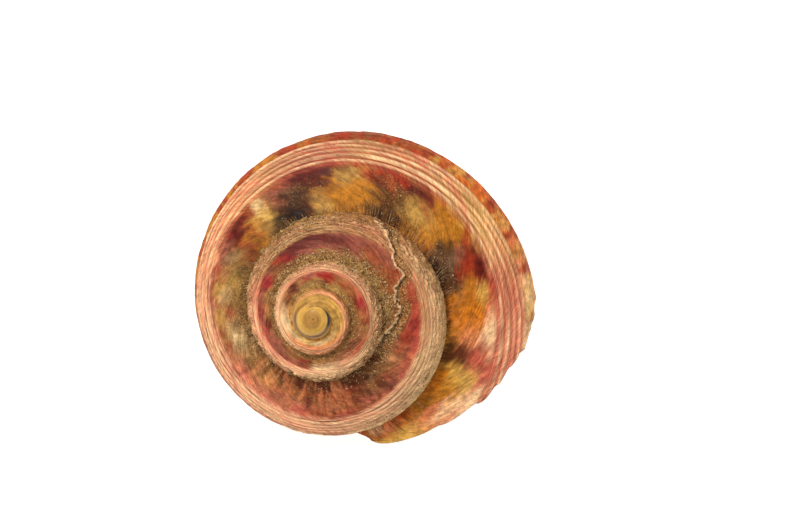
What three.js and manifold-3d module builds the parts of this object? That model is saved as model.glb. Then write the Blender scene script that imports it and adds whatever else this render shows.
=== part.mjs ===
// A top shell (a small sea snail's spiral shell), lying mouth down as it rests on a table.
// Millimetres, +Z up. The origin is the middle of the underside of its bounding box.
//
// The shell is a tube wound on a cone. Its keel, the widest line of the whorl, lies at
// radius keelRadius(turn) and KEEL_DEPTH times that below the apex. Every other line of
// the whorl is a multiple of the keel radius here and one whorl back, so the section
// grows with the animal and always sits on the whorl before it.

import * as THREE from 'three';
import { mergeVertices } from 'three/addons/utils/BufferGeometryUtils.js';
import Module from 'manifold-3d';

const wasm = await Module();
wasm.setup();

// Driving dimensions

const LIP_TURN = 354; // degrees of growth at which the lip meets the suture
const FIRST_TURN = LIP_TURN - 1976; // the start of the first whorl
const LUMEN_LENGTH = 810; // degrees of growth that the inner channel runs back from the lip
const RADII_START = -1620; // growth angle of the first radius in the next list
const KEEL_RADII = [
  0.4, 0.52, 0.68, 0.87,
  1.1, 1.45, 1.9, 2.26,
  2.54, 2.9, 3.49, 4.18,
  4.77, 5.37, 6.06, 7.2,
  8.73, 10.39, 11.77, 13.29,
  15.57, 17.65, 20.4,
]; // keel radius at each quarter turn from RADII_START on
const NUCLEUS_RADIUS = 0.4; // the bead at the very tip
const UMBILICUS_SHUT = -640; // growth at which the hole under the spire closes up
const UMBILICUS_OPEN = -300; // growth from which it has its full width
const SHUT_RADIUS = 0.03; // what is left of it above there, as a share of the keel radius
const AXIS_CORE = { top: -0.5, bottom: -4.6, topRadius: 0.12, bottomRadius: 0.42 }; // fills that
const SMALLEST_EDGE = 0.02;
const LEAN_ANGLE = 14; // degrees that the spire leans at rest
const LEAN_TOWARDS = 60; // degrees clockwise from -Y, the side to which it leans
const HALF_WHORL = 167; // degrees in one length of tube, a little under half a whorl
const FINE_STEP = 10; // degrees between rings on the last two whorls
const COARSE_STEP = 20; // degrees between rings on the whorls before

// The whorl's outline, from the suture over the shoulder and keel to the base, up the wall
// of the umbilicus and back through the whorl before.
// Each line has its radius and height as multiples of the keel radius here and one whorl
// back, and the degrees by which the growing lip trails on it.
const OUTLINE = [
  { here: [0, 0], back: [0.93, -0.845], lag: 0 }, // just inside the whorl before, at the suture
  { here: [0.22, -0.15], back: [0.7, -0.61], lag: 5 },
  { here: [0.5, -0.345], back: [0.37, -0.312], lag: 25 }, // ramp
  { here: [0.79, -0.56], back: [0, 0], lag: 43 },
  { here: [0.855, -0.592], back: [0, 0], lag: 52 }, // first cord of the shoulder
  { here: [0.915, -0.632], back: [0, 0], lag: 64 },
  { here: [0.965, -0.684], back: [0, 0], lag: 72 },
  { here: [0.995, -0.746], back: [0, 0], lag: 82 }, // keel
  { here: [0.998, -0.81], back: [0, 0], lag: 89 },
  { here: [0.972, -0.875], back: [0, 0], lag: 96 },
  { here: [0.905, -0.94], back: [0, 0], lag: 101 },
  { here: [0.78, -1.0], back: [0, 0], lag: 105 }, // base
  { here: [0.62, -1.035], back: [0, 0], lag: 106 },
  { here: [0.46, -1.03], back: [0, 0], lag: 103 },
  { here: [0.32, -0.99], back: [0, 0], lag: 94 }, // edge of the umbilicus
  { here: [0.225, -0.92], back: [0, 0], lag: 80 },
  { here: [0.175, -0.82], back: [0, 0], lag: 62 },
  { here: [0.15, -0.72], back: [0, 0], lag: 42 },
  { here: [0, 0], back: [0.31, -0.93], lag: 22 }, // inside the whorl before
  { here: [0, 0], back: [0.42, -0.955], lag: 12 },
  { here: [0, 0], back: [0.65, -0.94], lag: 4 },
  { here: [0, 0], back: [0.86, -0.87], lag: 1 },
];

// The channel that the animal lived in, drawn the same way.
const LUMEN = [
  { here: [0.07, -0.06], back: [0.93, -0.9], lag: 0 }, // under the suture
  { here: [0.22, -0.205], back: [0.7, -0.61], lag: 5 },
  { here: [0.5, -0.4], back: [0.37, -0.312], lag: 25 },
  { here: [0.775, -0.615], back: [0, 0], lag: 43 },
  { here: [0.87, -0.66], back: [0, 0], lag: 60 },
  { here: [0.925, -0.72], back: [0, 0], lag: 73 },
  { here: [0.945, -0.785], back: [0, 0], lag: 86 },
  { here: [0.92, -0.86], back: [0, 0], lag: 96 },
  { here: [0.85, -0.92], back: [0, 0], lag: 101 },
  { here: [0.74, -0.96], back: [0, 0], lag: 105 },
  { here: [0.6, -0.98], back: [0, 0], lag: 106 },
  { here: [0.46, -0.97], back: [0, 0], lag: 103 },
  { here: [0.36, -0.925], back: [0, 0], lag: 92 },
  { here: [0.29, -0.84], back: [0, 0], lag: 74 }, // columella
  { here: [0.265, -0.74], back: [0, 0], lag: 50 },
  { here: [0, 0], back: [0.46, -1.1], lag: 18 }, // over the base of the whorl before
  { here: [0, 0], back: [0.66, -1.1], lag: 5 },
  { here: [0, 0], back: [0.88, -1.03], lag: 1 },
];
const LIP_THINNING = 0.5; // share of the wall that is gone at the lip's edge
const LIP_THINNING_LENGTH = 14; // degrees over which it thins

// The keel radius at any growth angle: a smooth curve through the quarter turns.
const growthCurve = new THREE.SplineCurve(
  KEEL_RADII.map((radius, i) => new THREE.Vector2(i, Math.log(radius))),
);

function keelRadius(turn) {
  const last = KEEL_RADII.length - 1;
  const place = THREE.MathUtils.clamp((turn - RADII_START) / 90, -4, last);
  if (place < 0) return KEEL_RADII[0] * 2 ** (place / 4);
  return Math.exp(growthCurve.getPoint(place / last).y);
}

// A ring is a flat radial slice, except that over the last half whorl it skews into the lip.
function pointOn(line, ringTurn) {
  const skew = THREE.MathUtils.clamp(1 - (LIP_TURN - ringTurn) / HALF_WHORL, 0, 1);
  const turn = ringTurn - skew * line.lag;
  const here = keelRadius(turn);
  const back = keelRadius(turn - 360);
  const open = THREE.MathUtils.smoothstep(turn, UMBILICUS_SHUT, UMBILICUS_OPEN);
  let radius = line.here[0] * here + line.back[0] * back;
  const height = line.here[1] * here + line.back[1] * back;
  if (line.here[0] > 0 && line.here[0] < 0.4 && line.back[0] === 0) {
    radius = THREE.MathUtils.lerp(SHUT_RADIUS * here, radius, open);
  }
  const angle = THREE.MathUtils.degToRad(turn);
  return new THREE.Vector3(-radius * Math.sin(angle), -radius * Math.cos(angle), height);
}

// One ring of the tube: the outline at one moment of growth.
function ring(outline, turn) {
  return outline.map((line) => pointOn(line, turn));
}

function solid(geometry) {
  geometry.deleteAttribute('normal');
  geometry.deleteAttribute('uv');
  const merged = mergeVertices(geometry, 1e-5);
  return new wasm.Manifold(
    new wasm.Mesh({
      numProp: 3,
      vertProperties: Float32Array.from(merged.attributes.position.array),
      triVerts: Uint32Array.from(merged.index.array),
    }),
  );
}

// Triangles over one end of a tube, found in the plane that fits its ring best.
function capTriangles(points) {
  const centre = points.reduce((sum, p) => sum.add(p), new THREE.Vector3()).divideScalar(points.length);
  const normal = new THREE.Vector3();
  points.forEach((p, i) => {
    const next = points[(i + 1) % points.length];
    normal.add(p.clone().sub(centre).cross(next.clone().sub(centre)));
  });
  const flatten = new THREE.Quaternion().setFromUnitVectors(normal.normalize(), new THREE.Vector3(0, 0, 1));
  const flat = points.map((p) => {
    const q = p.clone().sub(centre).applyQuaternion(flatten);
    return new THREE.Vector2(q.x, q.y);
  });
  return THREE.ShapeUtils.triangulateShape(flat, []);
}

// A closed length of tube through a row of rings.
function tube(rings) {
  const n = rings[0].length;
  const points = rings.flat().flatMap((p) => [p.x, p.y, p.z]);
  const triangles = [];
  for (let r = 0; r < rings.length - 1; r += 1) {
    for (let i = 0; i < n; i += 1) {
      const a = r * n + i;
      const b = r * n + ((i + 1) % n);
      triangles.push(a, a + n, b);
      triangles.push(b, a + n, b + n);
    }
  }
  const lastRing = (rings.length - 1) * n;
  capTriangles(rings[0]).forEach(([a, b, c]) => triangles.push(a, b, c));
  capTriangles(rings.at(-1)).forEach(([a, b, c]) => {
    triangles.push(lastRing + a, lastRing + c, lastRing + b);
  });
  const geometry = new THREE.BufferGeometry();
  geometry.setAttribute('position', new THREE.Float32BufferAttribute(points, 3));
  geometry.setIndex(triangles);
  return solid(geometry);
}

function turnsBetween(first, last, step) {
  const count = Math.max(1, Math.round((last - first) / step));
  return Array.from({ length: count + 1 }, (_, i) => first + ((last - first) * i) / count);
}

// A tube that winds round more than once is joined from lengths of half a whorl, and each
// length starts with the last step of the one before it, so that they overlap.
function spiralTube(makeRing, first, last, fineFrom) {
  const joints = turnsBetween(first, last, HALF_WHORL);
  let whole = null;
  let shared = [];
  for (let i = 0; i < joints.length - 1; i += 1) {
    const step = joints[i] > fineFrom ? FINE_STEP : COARSE_STEP;
    const turns = turnsBetween(joints[i], joints[i + 1], step);
    const piece = tube([...shared, ...turns].map(makeRing));
    shared = [turns[turns.length - 2]];
    whole = whole ? whole.add(piece) : piece;
  }
  return whole;
}

function lumenRing(turn) {
  const toLip = LIP_TURN - turn;
  const fromEnd = turn - (LIP_TURN - LUMEN_LENGTH);
  const points = ring(LUMEN, turn);
  const centre = points.reduce((sum, p) => sum.add(p), new THREE.Vector3()).divideScalar(points.length);
  const thinning = LIP_THINNING * Math.exp(-Math.max(toLip, 0) / LIP_THINNING_LENGTH);
  const swell = 1 + 0.07 * thinning + (toLip < 0 ? 0.03 : 0);
  const round = Math.sqrt(THREE.MathUtils.clamp(0.12 + fromEnd / 30, 0, 1));
  return points.map((p) => centre.clone().lerp(p, round * swell));
}

const outer = spiralTube((turn) => ring(OUTLINE, turn), FIRST_TURN, LIP_TURN, LIP_TURN - 730);
const nucleus = new THREE.SphereGeometry(NUCLEUS_RADIUS, 16, 10);
nucleus.translate(0, 0, -NUCLEUS_RADIUS);
const coreLength = AXIS_CORE.top - AXIS_CORE.bottom;
const core = new THREE.CylinderGeometry(AXIS_CORE.topRadius, AXIS_CORE.bottomRadius, coreLength, 12);
core.rotateX(Math.PI / 2);
core.translate(0, 0, (AXIS_CORE.top + AXIS_CORE.bottom) / 2);
const lumen = spiralTube(lumenRing, LIP_TURN - LUMEN_LENGTH, LIP_TURN + 14, LIP_TURN - 350);
const joined = outer.add(solid(nucleus)).add(solid(core)).subtract(lumen).asOriginal();
// Cleaned of slivers, and of the loose flecks that cutting leaves behind.
const shellSolid = joined
  .simplify(SMALLEST_EDGE)
  .decompose()
  .reduce((a, b) => (a.volume() > b.volume() ? a : b));

function toGeometry(manifold) {
  const mesh = manifold.getMesh();
  const geometry = new THREE.BufferGeometry();
  geometry.setAttribute('position', new THREE.BufferAttribute(Float32Array.from(mesh.vertProperties), 3));
  geometry.setIndex(Array.from(mesh.triVerts));
  return geometry;
}

const shellMaterial = new THREE.MeshStandardMaterial({
  name: 'shell',
  color: 0xb98a5a,
  roughness: 0.45,
  metalness: 0,
});

// Laid down: the spire leans, and the lowest point of the base comes to z = 0.
const geometry = toGeometry(shellSolid);
const leanHeading = THREE.MathUtils.degToRad(LEAN_TOWARDS);
const leanSide = new THREE.Vector3(-Math.sin(leanHeading), -Math.cos(leanHeading), 0);
const leanAxis = new THREE.Vector3(0, 0, 1).cross(leanSide).normalize();
geometry.applyMatrix4(
  new THREE.Matrix4().makeRotationAxis(leanAxis, THREE.MathUtils.degToRad(LEAN_ANGLE)),
);
geometry.computeBoundingBox();
const box = geometry.boundingBox;
const middle = box.getCenter(new THREE.Vector3());
geometry.translate(-middle.x, -middle.y, -box.min.z);
geometry.computeVertexNormals();

const shell = new THREE.Mesh(geometry, shellMaterial);
shell.name = 'shell';

const part = new THREE.Group();
part.name = 'top_shell';
part.add(shell);

export default part;
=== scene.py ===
# A top shell lying mouth down, seen from straight above.
# Lengths inside the shell's own formulas are in millimetres. Blender's are in metres.

import math

import bmesh
import bpy
import numpy as np
from mathutils import Matrix, Vector
from mathutils.geometry import tessellate_polygon


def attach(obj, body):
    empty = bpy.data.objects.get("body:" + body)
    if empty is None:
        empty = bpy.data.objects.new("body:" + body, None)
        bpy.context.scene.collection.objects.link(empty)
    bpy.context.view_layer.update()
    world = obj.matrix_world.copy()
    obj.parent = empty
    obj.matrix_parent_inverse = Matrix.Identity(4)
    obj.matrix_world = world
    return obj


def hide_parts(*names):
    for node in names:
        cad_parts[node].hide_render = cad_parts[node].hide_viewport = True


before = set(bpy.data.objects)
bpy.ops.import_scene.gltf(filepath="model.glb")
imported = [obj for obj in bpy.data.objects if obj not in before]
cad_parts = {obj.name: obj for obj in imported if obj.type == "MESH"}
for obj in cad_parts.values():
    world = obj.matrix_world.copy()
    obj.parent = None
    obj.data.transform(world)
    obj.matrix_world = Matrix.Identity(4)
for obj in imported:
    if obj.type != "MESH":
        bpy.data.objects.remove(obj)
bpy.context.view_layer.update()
MM = 0.001

# How the shell grew: the same formulas as the solid that it stands for.

LIP_TURN = 354  # degrees of growth at which the lip meets the suture
FIRST_TURN = LIP_TURN - 1976
LUMEN_LENGTH = 810
RADII_START = -1620
SHRINKING_STOPS = -4  # quarter turns from RADII_START, before which the radius stays the same
KEEL_RADII = np.array([
    0.4, 0.52, 0.68, 0.87,
    1.1, 1.45, 1.9, 2.26,
    2.54, 2.9, 3.49, 4.18,
    4.77, 5.37, 6.06, 7.2,
    8.73, 10.39, 11.77, 13.29,
    15.57, 17.65, 20.4,
])  # keel radius at each quarter turn from RADII_START on
NUCLEUS_RADIUS = 0.4
UMBILICUS_SHUT = -640
UMBILICUS_OPEN = -300
SHUT_SHARE = 0.03
LEAN_ANGLE = 14
LEAN_TOWARDS = 60
SEGMENT = 165

# The whorl's outline: radius and height as multiples of the keel radius here, the same one
# whorl back, and the degrees by which the lip trails.
OUTLINE = np.array([
    (0, 0, 0.93, -0.845, 0), (0.22, -0.15, 0.7, -0.61, 5), (0.5, -0.345, 0.37, -0.312, 25),
    (0.79, -0.56, 0, 0, 43), (0.855, -0.592, 0, 0, 52), (0.915, -0.632, 0, 0, 64),
    (0.965, -0.684, 0, 0, 72), (0.995, -0.746, 0, 0, 82), (0.998, -0.81, 0, 0, 89),
    (0.972, -0.875, 0, 0, 96), (0.905, -0.94, 0, 0, 101), (0.78, -1, 0, 0, 105),
    (0.62, -1.035, 0, 0, 106), (0.46, -1.03, 0, 0, 103), (0.32, -0.99, 0, 0, 94),
    (0.225, -0.92, 0, 0, 80), (0.175, -0.82, 0, 0, 62), (0.15, -0.72, 0, 0, 42),
    (0, 0, 0.31, -0.93, 22), (0, 0, 0.42, -0.955, 12), (0, 0, 0.65, -0.94, 4),
    (0, 0, 0.86, -0.87, 1),
])
OUTLINE_PARTS = [6, 7, 8, 6, 11, 9, 8, 4, 4, 4, 4, 4, 4, 4, 3, 2, 2, 2, 1, 1, 1, 1]
LUMEN = np.array([
    (0.07, -0.06, 0.93, -0.9, 0), (0.22, -0.205, 0.7, -0.61, 5), (0.5, -0.4, 0.37, -0.312, 25),
    (0.775, -0.615, 0, 0, 43), (0.87, -0.66, 0, 0, 60), (0.925, -0.72, 0, 0, 73),
    (0.945, -0.785, 0, 0, 86), (0.92, -0.86, 0, 0, 96), (0.85, -0.92, 0, 0, 101),
    (0.74, -0.96, 0, 0, 105), (0.6, -0.98, 0, 0, 106), (0.46, -0.97, 0, 0, 103),
    (0.36, -0.925, 0, 0, 92), (0.29, -0.84, 0, 0, 74), (0.265, -0.74, 0, 0, 50),
    (0, 0, 0.46, -1.1, 18), (0, 0, 0.66, -1.1, 5), (0, 0, 0.88, -1.03, 1),
])
LUMEN_PARTS = [2] * 18
LIP_THINNING = 0.5
LIP_THINNING_LENGTH = 14
THINNED_SWELL = 0.07  # how much wider the lumen gets where the lip is thinned
PAST_LIP = 14  # degrees by which the lumen's cutter runs on past the lip
PAST_LIP_SWELL = 0.03
LUMEN_TIP = 0.12  # the square of the lumen's width at its inner end, which is rounded
LUMEN_ROUNDING = 30  # degrees over which the rounding grows to the full width


def rise(low, high, value):
    """A smooth step from 0 to 1."""
    t = np.clip((value - low) / (high - low), 0, 1)
    return t * t * (3 - 2 * t)


def fall(low, high, value):
    return 1 - rise(low, high, value)


def spline(a, b, c, d, f):
    bend = 2 * a - 5 * b + 4 * c - d
    twist = 3 * b - a - 3 * c + d
    return 0.5 * (2 * b + (c - a) * f + bend * f**2 + twist * f**3)


def keel_radius(turn):
    logs = np.log(KEEL_RADII)
    last = len(logs) - 1
    place = np.clip((np.asarray(turn, float) - RADII_START) / 90, SHRINKING_STOPS, last - 1e-6)
    low = np.floor(place).astype(int)

    def log_at(i):
        before = logs[0] + i * math.log(2) / 4
        return np.where(i < 0, before, logs[np.clip(i, 0, last)])

    return np.exp(spline(log_at(low - 1), log_at(low), log_at(low + 1), log_at(low + 2), place - low))


def outline_at(rows, places):
    """The rows of an outline at fractional places along it, on a smooth closed curve."""
    places = np.asarray(places, float)
    low = np.floor(places).astype(int)
    f = (places - low)[:, None]
    n = len(rows)
    return spline(rows[(low - 1) % n], rows[low % n], rows[(low + 1) % n], rows[(low + 2) % n], f)


def places_along(parts):
    return np.concatenate([i + np.arange(k) / k for i, k in enumerate(parts)])


def section(rows, turn):
    """Radius and height of outline rows, each at its own growth angle."""
    here = keel_radius(turn)
    back = keel_radius(turn - 360)
    radius = rows[..., 0] * here + rows[..., 2] * back
    height = rows[..., 1] * here + rows[..., 3] * back
    return radius, height


def on_axis(radius, height, turn):
    angle = np.radians(turn)
    return np.stack([-radius * np.sin(angle), -radius * np.cos(angle), height], -1)


# Where things are seen from above, as the camera sees them: the angle clockwise from the
# bottom of the picture, counted on through the whorls, and the distance from the apex in
# pixels of the photograph.

PIXEL = 0.089  # millimetres
CAMERA_HEIGHT = 400  # above the apex
PICTURE = (800, 532)
APEX_PIXEL = (312, 320)

lean_heading = math.radians(LEAN_TOWARDS)
lean_axis = Vector((0, 0, 1)).cross(Vector((-math.sin(lean_heading), -math.cos(lean_heading), 0)))
lean = np.array(Matrix.Rotation(math.radians(LEAN_ANGLE), 3, lean_axis))
axis_to_apex = PIXEL * np.array([PICTURE[0] / 2 - APEX_PIXEL[0], APEX_PIXEL[1] - PICTURE[1] / 2])


def seen_from_above(points, turn):
    laid = points @ lean.T
    scale = 1 / (1 - laid[..., 2] / CAMERA_HEIGHT)
    flat = (laid[..., :2] - axis_to_apex) * scale[..., None] + axis_to_apex
    angle = np.degrees(np.arctan2(-flat[..., 0], -flat[..., 1]))
    angle = angle + 360 * np.round((turn - angle) / 360)
    return angle, np.hypot(flat[..., 0], flat[..., 1]) / PIXEL


# Relief

SHOULDER_CORDS = [4, 4.5, 4.95, 5.4, 5.85, 6.35, 6.85, 7.5]  # places along the outline
BASE_CORDS = [8.4, 9.1, 9.8, 10.4, 10.95, 11.45, 11.9, 12.35, 12.8, 13.25, 13.75]
CORD_HEIGHT = 0.0075  # this and the next five as shares of the keel radius
RIPPLE_HEIGHT = 0.006
GROWTH_LINE_HEIGHT = 0.0035
RAMP_WAVE_HEIGHT = 0.01
CRUMB_HEIGHT = 0.1
FOLD_HEIGHT = 0.035
# The ragged edge of the old broken lip: angle in its whorl, distance from the apex in pixels.
SCAR = [
    (212, 121), (216, 117), (220, 116), (225, 110), (229, 107.5), (233, 102.5), (238, 101), (241, 103),
    (245, 101), (247, 95), (249, 90.5), (254, 88), (258, 87), (262, 91), (266, 88), (272, 84), (279, 77),
    (287, 71),
]
SCAR_MIDDLE = -110  # degrees, counted on through the whorls
SCAR_SPREAD = 60  # degrees either way from its middle
SCAR_FAR = 60.0  # pixels, more than any distance that matters
SCAR_WANDER = 5  # pixels
SCAR_WANDER_SCALE = 0.22
SCAR_STEP = 0.34  # millimetres
SCAR_END = 8  # the last place along the outline that it reaches
# Notches in the present lip: place, half width, degrees bitten off.
LIP_NOTCHES = [
    (0.9, 0.25, 2.4), (1.55, 0.3, -2), (2.35, 0.15, 1.6), (2.9, 0.25, -1.2), (3.45, 0.2, 1),
    (4.3, 0.2, 1.3), (4.9, 0.15, 1.4), (5.5, 0.2, 1), (6.3, 0.15, 1.5), (8.6, 0.2, 1.5),
    (10.3, 0.15, 1.8), (12.1, 0.3, 1.4),
]
NOTCH_REACH = 16  # degrees back from the lip
NOTCH_END = 17  # the last place along the outline with notches
LIP_ROUGHNESS = 1.6  # degrees
RELIEF_END = 17.4
RELIEF_STARTS = (-1080, -880)  # growth angles between which the relief sets in
NOISE_CELLS = 256


def noise(x, y, seed):
    """Smooth value noise, 0 to 1, repeating every NOISE_CELLS units."""
    grid = np.random.default_rng(seed).random((NOISE_CELLS, NOISE_CELLS))
    x0, y0 = np.floor(x).astype(int), np.floor(y).astype(int)
    fx, fy = x - x0, y - y0
    fx, fy = fx * fx * (3 - 2 * fx), fy * fy * (3 - 2 * fy)
    x1, y1 = (x0 + 1) % NOISE_CELLS, (y0 + 1) % NOISE_CELLS
    x0, y0 = x0 % NOISE_CELLS, y0 % NOISE_CELLS
    top = grid[x0, y0] * (1 - fx) + grid[x1, y0] * fx
    bottom = grid[x0, y1] * (1 - fx) + grid[x1, y1] * fx
    return top * (1 - fy) + bottom * fy


def fractal(x, y, seed, octaves=4):
    total, size = 0, 0
    for i in range(octaves):
        total = total + noise(x * 2**i, y * 2**i, seed + i) / 1.7**i
        size += 1 / 1.7**i
    return total / size


def past_scar(seen_angle, seen_radius):
    """Pixels past the ragged edge of the old broken lip, less than zero on its older side."""
    nearest = np.full(seen_angle.shape, -SCAR_FAR)
    close = np.abs(seen_angle - SCAR_MIDDLE) < SCAR_SPREAD
    angle = np.radians(seen_angle[close])
    at = np.stack([seen_radius[close] * np.sin(angle), seen_radius[close] * np.cos(angle)], -1)
    x, y = at.T * SCAR_WANDER_SCALE
    wander = np.stack([fractal(x, y, 71, 3), fractal(y, x, 75, 3)], -1)
    at = at + SCAR_WANDER * (wander - 0.5)
    knots = np.array([(r * math.sin(math.radians(a)), r * math.cos(math.radians(a))) for a, r in SCAR])
    signed = np.full(len(at), -SCAR_FAR)
    for start, end in zip(knots[:-1], knots[1:]):
        step = end - start
        share = np.clip(((at - start) @ step) / (step @ step), 0, 1)
        off = at - start - share[:, None] * step
        distance = np.hypot(off[:, 0], off[:, 1])
        turned = step[0] * off[:, 1] - step[1] * off[:, 0]
        closer = distance < np.abs(signed)
        signed[closer] = np.where(turned > 0, distance, -distance)[closer]
    nearest[close] = signed
    return nearest


def scar_relief(seen_angle, seen_radius):
    past = past_scar(seen_angle, seen_radius)
    dropped = -rise(-0.6, 1, past) * np.exp(-np.maximum(past, 0) / 16)
    rim = 0.45 * np.exp(-((past + 1.6) / 1.8) ** 2)
    return SCAR_STEP * (dropped + rim) * (np.abs(past) < 50)


def cords(place):
    height = np.zeros_like(place)
    for centres, share, width in ((SHOULDER_CORDS, 1, 0.14), (BASE_CORDS, 0.8, 0.17)):
        for centre in centres:
            height += share * np.exp(-((place - centre) / width) ** 2)
    return height


def fold_height(turn, place):
    """Crumpled folds that run outward across the ramp."""
    return fractal(turn / 4.2, place * 0.45, 8, 4)


def outer_relief(turn, place, age):
    """How far the surface stands out from the smooth whorl, in millimetres."""
    keel = keel_radius(turn)
    young = rise(*RELIEF_STARTS, turn)
    relief = CORD_HEIGHT * keel * cords(place) * young
    past_ramp = rise(2, 4, place)
    relief += RIPPLE_HEIGHT * keel * young * (noise(age / 5, place * 0.4, 5) - 0.5) * past_ramp
    relief += GROWTH_LINE_HEIGHT * keel * young * (noise(age / 1.6, place * 0.5, 6) - 0.5)
    on_ramp = fall(3.2, 4.2, place)
    relief += RAMP_WAVE_HEIGHT * keel * young * (noise(turn / 16, place * 0.9, 7) - 0.5) * on_ramp
    folds = rise(-75, -40, turn) * fall(40, 75, turn) * on_ramp
    crumbs = rise(4.6, 5.6, place) * fall(-150, -60, turn) * young
    relief += CRUMB_HEIGHT * keel * crumbs * (fractal(age / 1.7, place * 1.5, 9, 3) - 0.5)
    relief += FOLD_HEIGHT * keel * folds * (fold_height(turn, place) - 0.5)
    return relief


def whorl_rings(rows, places, ages, outer):
    """Points of one ring per age: a ring is a radial slice that skews into the lip."""
    ages = np.asarray(ages, float)[:, None]
    skew = np.clip(1 - (LIP_TURN - ages) / SEGMENT, 0, 1)
    turn = ages - skew * rows[:, 4]
    if outer:
        near_lip = rise(LIP_TURN - NOTCH_REACH, LIP_TURN, ages)
        bite = np.zeros(len(places))
        for centre, width, depth in LIP_NOTCHES:
            bite += depth * np.exp(-(((places - centre) / width) ** 2))
        bite += LIP_ROUGHNESS * (fractal(places * 3.1, places * 0, 31, 3) - 0.5)
        turn = turn - near_lip * bite * (places < NOTCH_END)
    radius, height = section(rows, turn)
    if outer:
        in_hole = rise(13, 14, places) * fall(17, 18, places)
        shut = fall(UMBILICUS_SHUT, UMBILICUS_OPEN, turn)
        radius = radius + (SHUT_SHARE * keel_radius(turn) - radius) * shut * in_hole
        points = on_axis(radius, height, turn)
        angle, distance = seen_from_above(points, turn)
        relief = outer_relief(turn, places, turn + rows[:, 4])
        relief = relief + scar_relief(angle, distance) * (places < SCAR_END)
        relief = relief * (places < RELIEF_END) * rise(0, 0.5, places)
        along_r = np.roll(radius, -1, 1) - np.roll(radius, 1, 1)
        along_z = np.roll(height, -1, 1) - np.roll(height, 1, 1)
        length = np.hypot(along_r, along_z) + 1e-9
        radius = radius - relief * along_z / length
        height = height + relief * along_r / length
    return on_axis(radius, height, turn)


def lumen_rings(ages):
    places = places_along(LUMEN_PARTS)
    rings = whorl_rings(outline_at(LUMEN, places), places, ages, outer=False)
    to_lip = LIP_TURN - ages
    from_end = ages - (LIP_TURN - LUMEN_LENGTH)
    thinning = LIP_THINNING * np.exp(-np.maximum(to_lip, 0) / LIP_THINNING_LENGTH)
    swell = 1 + THINNED_SWELL * thinning + np.where(to_lip < 0, PAST_LIP_SWELL, 0)
    rounding = np.sqrt(np.clip(LUMEN_TIP + from_end / LUMEN_ROUNDING, 0, 1))
    centre = rings.mean(1, keepdims=True)
    return centre + (rings - centre) * (rounding * swell)[:, None, None]


def outer_rings(ages):
    places = places_along(OUTLINE_PARTS)
    return whorl_rings(outline_at(OUTLINE, places), places, ages, outer=True)


# Meshes

OUTER, INNER = 0, 1


def new_object(name, points, faces):
    surface = bpy.data.meshes.new(name)
    surface.from_pydata(points.tolist(), [], faces.tolist())
    made = bpy.data.objects.new(name, surface)
    bpy.context.scene.collection.objects.link(made)
    return made


def mark_side(thing, side):
    """The side of each face is kept as its material number, which joining and cutting carry along."""
    for _ in (OUTER, INNER):
        thing.data.materials.append(None)
    thing.data.polygons.foreach_set("material_index", np.full(len(thing.data.polygons), side, np.int32))


def ring_normal(ring):
    return np.cross(ring[1:-1] - ring[0], ring[2:] - ring[0]).sum(0)


def cap(ring, facing):
    """Triangles over one end of a tube, all turned one way."""
    triangles = np.array(tessellate_polygon([[Vector(p) for p in ring]]))
    p = ring[triangles]
    turned = np.cross(p[:, 1] - p[:, 0], p[:, 2] - p[:, 0]) @ facing
    return np.where((turned < 0)[:, None], triangles[:, ::-1], triangles)


def tube(name, rings):
    count, n = rings.shape[:2]
    base = np.arange(count - 1)[:, None] * n
    i = np.arange(n)[None, :]
    j = (i + 1) % n
    a, b, c, d = base + i, base + j, base + n + j, base + n + i
    walls = np.concatenate([
        np.stack([a, d, b], -1).reshape(-1, 3),
        np.stack([b, d, c], -1).reshape(-1, 3),
    ])
    first = cap(rings[0], ring_normal(rings[0]))
    last = cap(rings[-1], -ring_normal(rings[-1])) + (count - 1) * n
    return new_object(name, rings.reshape(-1, 3), np.concatenate([walls, first, last]))


def combine(target, other, operation):
    cut = target.modifiers.new(operation.lower(), "BOOLEAN")
    cut.solver = "MANIFOLD"
    cut.operation = operation
    cut.object = other
    shaped = bpy.data.meshes.new_from_object(target.evaluated_get(bpy.context.evaluated_depsgraph_get()))
    target.modifiers.clear()
    target.data = shaped
    bpy.data.objects.remove(other)


def ages_between(first, last, step):
    return np.linspace(first, last, max(1, round((last - first) / step)) + 1)


def spiral(name, make_rings, first, last, step_at, side):
    """A tube that winds round more than once, joined from lengths that share one step."""
    joints = ages_between(first, last, SEGMENT)
    whole = None
    shared = []
    for low, high in zip(joints[:-1], joints[1:]):
        ages = ages_between(low, high, step_at(high))
        length = tube(name, make_rings(np.concatenate([shared, ages])))
        mark_side(length, side)
        shared = ages[-2:-1]
        if whole is None:
            whole = length
        else:
            combine(whole, length, "UNION")
    return whole


# Degrees from ring to ring, past each angle of growth.
OUTER_STEPS = [(LIP_TURN - 360, 0.85), (LIP_TURN - 720, 1.45), (-1100, 3), (-math.inf, 10)]
LUMEN_STEP = 4
CORE_RADII = (0.42, 0.12)  # millimetres, at the bottom and the top
CORE_LENGTH = 4.1
CORE_MIDDLE = -2.55


def outer_step(age):
    return next(step for past, step in OUTER_STEPS if age > past)


def bead_and_core():
    """The tip of the shell, and a rod that fills the axis where the umbilicus is shut."""
    bpy.ops.mesh.primitive_uv_sphere_add(
        segments=48, ring_count=24, radius=NUCLEUS_RADIUS, location=(0, 0, -NUCLEUS_RADIUS))
    bead = bpy.context.active_object
    bpy.ops.mesh.primitive_cone_add(vertices=24, radius1=CORE_RADII[0], radius2=CORE_RADII[1],
                                    depth=CORE_LENGTH, location=(0, 0, CORE_MIDDLE))
    return bead, bpy.context.active_object


def read(things, field, width=1, kind=float):
    """One field of every vertex, corner or face of a mesh, as an array."""
    flat = np.empty(len(things) * width, np.float32 if kind is float else np.int32)
    things.foreach_get(field, flat)
    flat = flat.astype(kind)
    return flat.reshape(-1, width) if width > 1 else flat


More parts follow.
